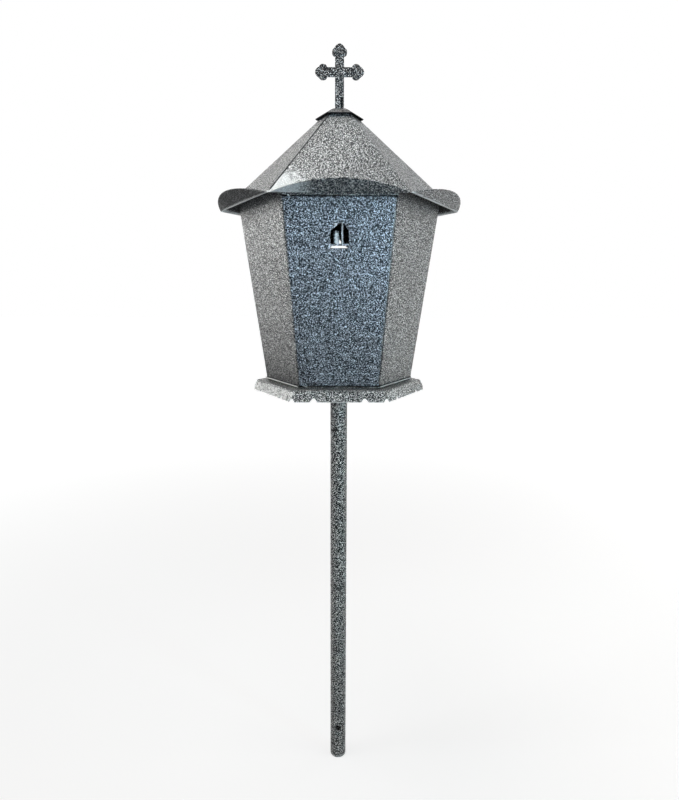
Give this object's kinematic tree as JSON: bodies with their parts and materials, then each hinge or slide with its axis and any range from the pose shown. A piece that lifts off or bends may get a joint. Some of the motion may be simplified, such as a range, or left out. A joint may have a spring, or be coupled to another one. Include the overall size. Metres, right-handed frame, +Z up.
{
  "type": "grave lantern",
  "caption": "Hexagonal sheet-steel grave lantern on a round pole, with a scalloped tray, a hinged front door, a pyramid roof with turned-up eaves and a budded cross.",
  "frame": {"origin": "centre of the pole's lower end", "axes": "+Z up along the pole, -Y out of the door, +X to the right of someone who faces the door"},
  "size_m": [0.2914, 0.2916, 0.95],
  "materials": {
    "hammered_steel": "silver-grey hammered enamel",
    "dark_hammered_steel": "dark grey hammered enamel",
    "zinc_steel": "zinc plated",
    "spring_steel": "bare spring steel"
  },
  "bodies": {
    "lantern": {"pole_tube": "hammered_steel", "pole_flange": "hammered_steel", "tray": "hammered_steel", "body_shell": "hammered_steel", "roof_shell": "hammered_steel", "roof_cap": "dark_hammered_steel", "cross": "dark_hammered_steel", "cross_bracket": "dark_hammered_steel", "door_catch_spring": "spring_steel", "door_pivot_upper": "zinc_steel", "door_pivot_lower": "zinc_steel", "door_pivot_spacer": "zinc_steel", "cap_spacer": "zinc_steel", "cap_screw": "zinc_steel", "cap_nut": "zinc_steel", "flange_screw_1": "zinc_steel", "flange_nut_1": "zinc_steel", "flange_screw_2": "zinc_steel", "flange_nut_2": "zinc_steel", "flange_screw_3": "zinc_steel", "flange_nut_3": "zinc_steel", "flange_screw_4": "zinc_steel", "flange_nut_4": "zinc_steel", "body_rivet_1": "zinc_steel", "body_rivet_2": "zinc_steel", "body_rivet_3": "zinc_steel", "body_rivet_4": "zinc_steel", "body_rivet_5": "zinc_steel", "body_rivet_6": "zinc_steel"},
    "door": {"door_panel": "hammered_steel"}
  },
  "joints": [
    {"name": "door_hinge", "type": "hinge", "parent": "lantern", "child": "door", "pos_m": [-0.03892, -0.07603, 0.55484], "axis": [0.0704, 0.1219, -0.99], "range_deg": [0, 110]}
  ]
}
